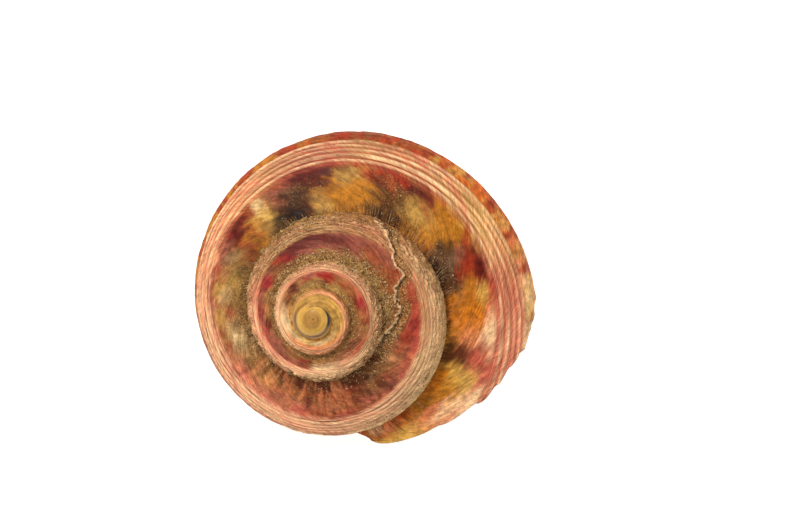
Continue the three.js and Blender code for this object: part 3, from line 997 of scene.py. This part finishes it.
def shell_material():
    made, tree, shader = new_material("shell_outside")
    growth = attribute(tree, "growth")
    dirt, corded, worn = node(tree, "ShaderNodeSeparateXYZ", {"Vector": attribute(tree, "wear")}).outputs
    place = place_in_mm(tree)

    growth_lines = noise_texture(growth, 1, (5, 1, 1), 4)
    spiral_lines = noise_texture(growth, 1, (0.25, 11, 1), 2)
    mottle = noise_texture(place, 1.7, detail=6, roughness=0.65)
    grains = noise_texture(place, 7, detail=2, roughness=0.7)

    tint = attribute(tree, "tint", "Color")
    streaks = ramp(growth_lines, 0.35, 0.65, 0.7, 1.25)
    tint = blend(tree, "MULTIPLY", tint, streaks, ramp(worn, 0, 1, 0.85, 0.1))
    clouds = ramp(mottle, 0.33, 0.67, 0.5, 1.45)
    tint = blend(tree, "MULTIPLY", tint, clouds, ramp(plus(worn, corded), 0, 1, 0.62, 0.15))
    tint = blend(tree, "MULTIPLY", tint, ramp(spiral_lines, 0.32, 0.6, 0.66, 1.28), corded)
    pits = times(ramp(grains, 0.36, 0.46, 1, 0), dirt)
    specks = times(ramp(grains, 0.56, 0.64, 0, 1), dirt)
    tint = blend(tree, "MIX", tint, BROWN, times(pits, 0.7))
    tint = blend(tree, "MIX", tint, IVORY, times(specks, 0.7))

    height = times(growth_lines, ramp(worn, 0, 1, 0.5, 0))
    height = plus(height, times(grains, dirt))
    height = plus(height, times(spiral_lines, corded))
    bump = node(tree, "ShaderNodeBump", {"Strength": 0.6, "Distance": BUMP_DEPTH, "Height": height})
    rough = plus(ramp(mottle, 0.3, 0.7, 0.38, 0.56), times(dirt, 0.4))
    feed(shader, {
        "Base Color": tint,
        "Roughness": plus(rough, times(worn, -0.25)),
        "Specular IOR Level": 0.08,
        "Coat Weight": ramp(worn, 0.8, 1, 0, 0.6),
        "Coat Roughness": 0.12,
        "Normal": bump.outputs["Normal"],
    })
    return made


def nacre_material():
    made, tree, shader = new_material("nacre")
    sheen = noise_texture(attribute(tree, "growth"), 1, (0.5, 2.5, 1))
    tint = blend(tree, "MIX", NACRE_WARM, NACRE_PALE, ramp(sheen, 0.3, 0.6, 0, 1))
    tint = blend(tree, "MIX", tint, NACRE_GREEN, ramp(sheen, 0.55, 0.75, 0, 0.5))
    feed(shader, {"Base Color": tint, "Roughness": ramp(sheen, 0.3, 0.7, 0.16, 0.3)})
    return made


mesh.materials[OUTER] = shell_material()
mesh.materials[INNER] = nacre_material()

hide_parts("shell")
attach(shell, "root")


# Grit in the sutures, and the hair-like wrinkles beside them

def combined_pieces(name, points, faces, tints, material):
    """Many small shapes as one mesh: points and tints per shape, faces the same for all."""
    count, n = points.shape[:2]
    all_faces = (np.arange(count)[:, None, None] * n + faces[None]).reshape(-1, faces.shape[1])
    made = new_object(name, points.reshape(-1, 3), all_faces)
    add_tint(made.data, np.repeat(tints, faces.size, axis=0))
    made.data.shade_smooth()
    made.data.materials.append(material)
    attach(made, "root")


def small_stuff_material(name, roughness, scale):
    made, tree, shader = new_material(name)
    mottle = noise_texture(place_in_mm(tree), scale)
    tint = attribute(tree, "tint", "Color")
    tint = blend(tree, "MULTIPLY", tint, ramp(mottle, 0.3, 0.7, 0.6, 1.3), 1)
    feed(shader, {
        "Base Color": tint,
        "Roughness": ramp(mottle, 0.3, 0.7, roughness - 0.1, roughness + 0.1),
        "Specular IOR Level": 0.3,
    })
    return made


GRAINS = 7500
GRAIN_SIZE = (0.03, 0.1)  # millimetres


def scatter_grit():
    rng = np.random.default_rng(11)
    starts = read(mesh.polygons, "loop_start", kind=int)
    areas = read(mesh.polygons, "area")
    centres = read(mesh.polygons, "center", 3)
    normals = read(mesh.polygons, "normal", 3)
    chance = areas * wear[starts, 0] ** 2 * (side[starts] == OUTER) * (place[starts] < 8.5)
    chance *= 0.4 + 1.6 * (place[starts] < 1.6) + 0.8 * (place[starts] > 5.5)
    chosen = rng.choice(len(areas), GRAINS, p=chance / chance.sum())
    bm = bmesh.new()
    bmesh.ops.create_icosphere(bm, subdivisions=1, radius=1.0)
    ball = np.array([v.co for v in bm.verts])
    faces = np.array([[v.index for v in f.verts] for f in bm.faces])
    bm.free()
    size = GRAIN_SIZE[0] + (GRAIN_SIZE[1] - GRAIN_SIZE[0]) * rng.random(GRAINS) ** 2.2
    shape = ball[None] * (0.65 + 0.7 * rng.random((GRAINS, len(ball), 1)))
    shape = shape * (0.7 + 0.6 * rng.random((GRAINS, 1, 3))) * size[:, None, None] * MM
    jitter = (rng.random((GRAINS, 1, 3)) - 0.5) * 0.06 * MM
    sunk = normals[chosen][:, None, :] * size[:, None, None] * MM * 0.25
    own = colour[starts[chosen]]
    pale = mix(own, IVORY, 0.1 + 0.6 * rng.random(GRAINS))
    dark = mix(own, BROWN, 0.3 + 0.5 * rng.random(GRAINS))
    tints = np.where((rng.random(GRAINS) < 0.2)[:, None], dark, pale)
    points = centres[chosen][:, None, :] + shape + jitter - sunk
    combined_pieces("suture_grit", points, faces, tints, small_stuff_material("grit", 0.85, 9))


# Wrinkles beside the suture: from angle, to angle, how many, how far they reach in places.
WRINKLES = [(60, 130, 30, 0.7), (150, 200, 50, 0.75), (200, 305, 190, 1.1), (305, 345, 60, 0.8)]
WRINKLE_RINGS = 9


def lay_wrinkles():
    """Fine raised hairs of shell that start at the suture and trail back as they run outward."""
    rng = np.random.default_rng(12)
    starts, lengths = [], []
    for first, last, number, reach in WRINKLES:
        starts.append(first + (last - first) * rng.random(number))
        lengths.append(reach * (0.35 + 0.75 * rng.random(number)))
    starts, lengths = np.concatenate(starts), np.concatenate(lengths)
    steps = np.linspace(0, 1, WRINKLE_RINGS)[None, :]
    places = 0.25 + 0.35 * rng.random((len(starts), 1)) + lengths[:, None] * steps
    sway = 2.2 * (rng.random((len(starts), 1)) - 0.5) * steps ** 2
    turns = starts[:, None] - 3.2 * (places - places[:, :1]) + sway
    rows = outline_at(OUTLINE, places.reshape(-1)).reshape(*places.shape, -1)
    radius, height = section(rows, turns)
    middle = on_axis(radius, height + 0.01 + 0.015 * np.sin(np.pi * steps), turns)
    width = (0.014 + 0.016 * rng.random((len(starts), 1))) * (1 - 0.8 * np.abs(2 * steps - 1) ** 3)
    ahead = np.gradient(middle, axis=1)
    ahead /= np.linalg.norm(ahead, axis=-1, keepdims=True)
    across = np.cross(ahead, (0, 0, 1))
    across /= np.linalg.norm(across, axis=-1, keepdims=True)
    lift = np.cross(across, ahead)
    corners = [middle + width[..., None] * (math.cos(a) * across + math.sin(a) * lift)
               for a in np.radians([90, 210, 330])]
    points = np.stack(corners, 2).reshape(len(starts), -1, 3)
    end = 3 * WRINKLE_RINGS
    faces = [[3 * i + k, 3 * i + (k + 1) % 3, 3 * i + 3 + (k + 1) % 3, 3 * i + 3 + k]
             for i in range(WRINKLE_RINGS - 1) for k in range(3)]
    faces = np.array([f[:3] for f in faces] + [[f[0], *f[2:]] for f in faces]
                     + [[0, 2, 1], [end - 3, end - 2, end - 1]])
    points = points @ (lean * MM).T + apex
    half = WRINKLE_RINGS // 2
    seen_at, _ = seen_from_above(middle[:, half], turns[:, half])
    tints = ground_and_suture_shade(seen_at, places[:, half])
    shades = np.array([STRAW, OCHRE, CREAM, BROWN])
    tints = mix(tints, shades[rng.integers(0, len(shades), len(starts))], 0.45)
    combined_pieces("suture_wrinkles", points, faces, tints, small_stuff_material("wrinkles", 0.5, 5))


scatter_grit()
lay_wrinkles()


# Floor, light and camera

bpy.ops.mesh.primitive_plane_add(size=3, location=(0, 0, 0))
floor = bpy.context.active_object
floor.name = "floor"
floor_material, _, floor_shader = new_material("floor_white")
feed(floor_shader, {
    "Base Color": (0.75, 0.75, 0.75, 1),
    "Roughness": 0.8,
    "Emission Color": (1, 1, 1, 1),
    "Emission Strength": 0.6,
})
floor.data.materials.append(floor_material)

world = bpy.data.worlds.new("studio")
bpy.context.scene.world = world
world.use_nodes = True
feed(world.node_tree.nodes["Background"], {"Color": (1, 1, 1, 1), "Strength": 0.6})


def soft_light(name, place, size, watts):
    lamp = bpy.data.lights.new(name, "AREA")
    lamp.shape = "DISK"
    lamp.size = size
    lamp.energy = watts
    made = bpy.data.objects.new(name, lamp)
    made.location = place
    made.rotation_euler = (-Vector(place)).to_track_quat("-Z", "Y").to_euler()
    bpy.context.scene.collection.objects.link(made)


soft_light("key", (-0.2, 0.22, 0.38), 0.16, 1.9)
soft_light("fill", (0.3, -0.1, 0.4), 0.3, 0.3)

camera = bpy.data.cameras.new("camera")
camera.sensor_width = 36
camera.lens = camera.sensor_width * CAMERA_HEIGHT / (PICTURE[0] * PIXEL)
camera.clip_start = 0.01
viewer = bpy.data.objects.new("camera", camera)
viewer.location = apex + np.array([axis_to_apex[0], axis_to_apex[1], CAMERA_HEIGHT]) * MM
bpy.context.scene.collection.objects.link(viewer)
bpy.context.scene.camera = viewer
bpy.context.scene.view_settings.view_transform = "Standard"
